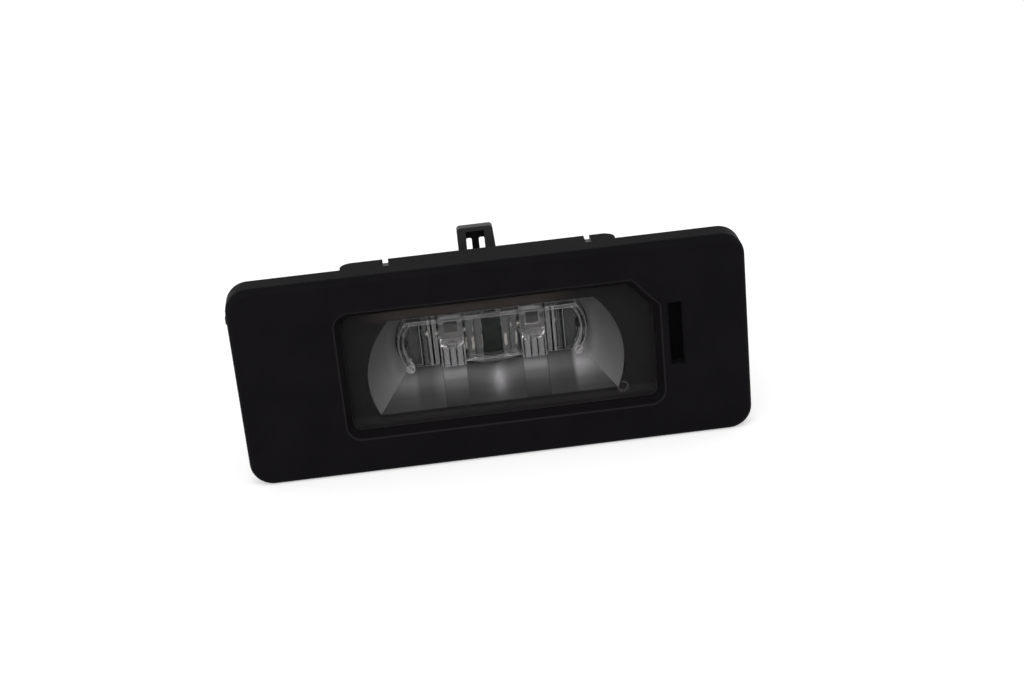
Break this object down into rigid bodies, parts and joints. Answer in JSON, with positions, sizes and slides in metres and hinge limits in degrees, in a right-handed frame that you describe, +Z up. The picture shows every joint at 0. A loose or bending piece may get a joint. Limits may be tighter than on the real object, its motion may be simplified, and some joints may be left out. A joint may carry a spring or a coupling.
{
  "type": "number plate lamp",
  "caption": "Flat rectangular snap-in car lamp: black bezel with a release slot, clear lens over a silvered reflector and light guide, plug socket behind.",
  "frame": {"origin": "centre of the flange's rear rim, in the plane that lies against the body panel", "axes": "+X to the right along the flange's length, seen from the front; +Y to the back, into the panel; +Z up, towards the tie tab"},
  "size_m": [0.0742, 0.0268, 0.0306],
  "materials": {
    "bezel_plastic": "fine-grained black moulded plastic",
    "housing_plastic": "plain black moulded plastic",
    "lens_clear": "clear polished plastic",
    "guide_clear": "clear polished plastic",
    "reflector_silver": "satin silver metallised plastic",
    "board_green": "green solder-masked laminate",
    "led_white": "white moulded package with a pale yellow window",
    "chip_black": "black moulded chip with tinned ends",
    "chip_ceramic": "brown ceramic chip with tinned ends",
    "terminal_tin": "tin-plated brass",
    "membrane_white": "white porous film"
  },
  "bodies": {
    "root": {"bezel": "bezel_plastic", "lens": "lens_clear", "reflector": "reflector_silver", "light_guide": "guide_clear", "circuit_board": "board_green", "led_left": "led_white", "led_right": "led_white", "diode_left": "chip_black", "diode_right": "chip_black", "capacitor_left": "chip_ceramic", "capacitor_right": "chip_ceramic", "led_driver": "chip_black", "rear_housing": "housing_plastic", "vent_membrane": "membrane_white", "resistor_1": "chip_black", "resistor_2": "chip_black", "resistor_3": "chip_black", "resistor_4": "chip_black", "terminal_left": "terminal_tin", "terminal_right": "terminal_tin"}
  },
  "joints": []
}
